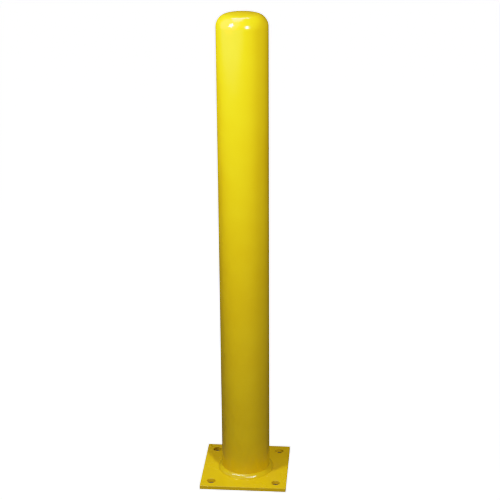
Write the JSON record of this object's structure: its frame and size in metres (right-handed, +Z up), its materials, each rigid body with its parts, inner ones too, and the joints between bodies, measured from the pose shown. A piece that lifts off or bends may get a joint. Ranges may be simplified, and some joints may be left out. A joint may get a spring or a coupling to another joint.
{
  "type": "steel safety bollard",
  "caption": "Fixed steel safety bollard: a round pipe post with a welded domed cap, on a square base plate with anchor holes in its corners.",
  "frame": {"origin": "centre of the base plate's underside, on the floor", "axes": "+Z up along the post's axis; X and Y along the edges of the base plate"},
  "size_m": [0.2032, 0.2032, 1.1006],
  "materials": {
    "yellow_powder_coat": "glossy safety yellow powder coat with a fine orange peel, over steel"
  },
  "bodies": {
    "root": {"base_plate": "yellow_powder_coat", "foot_weld": "yellow_powder_coat", "post_tube": "yellow_powder_coat", "cap_weld": "yellow_powder_coat", "dome_cap": "yellow_powder_coat"}
  },
  "joints": []
}
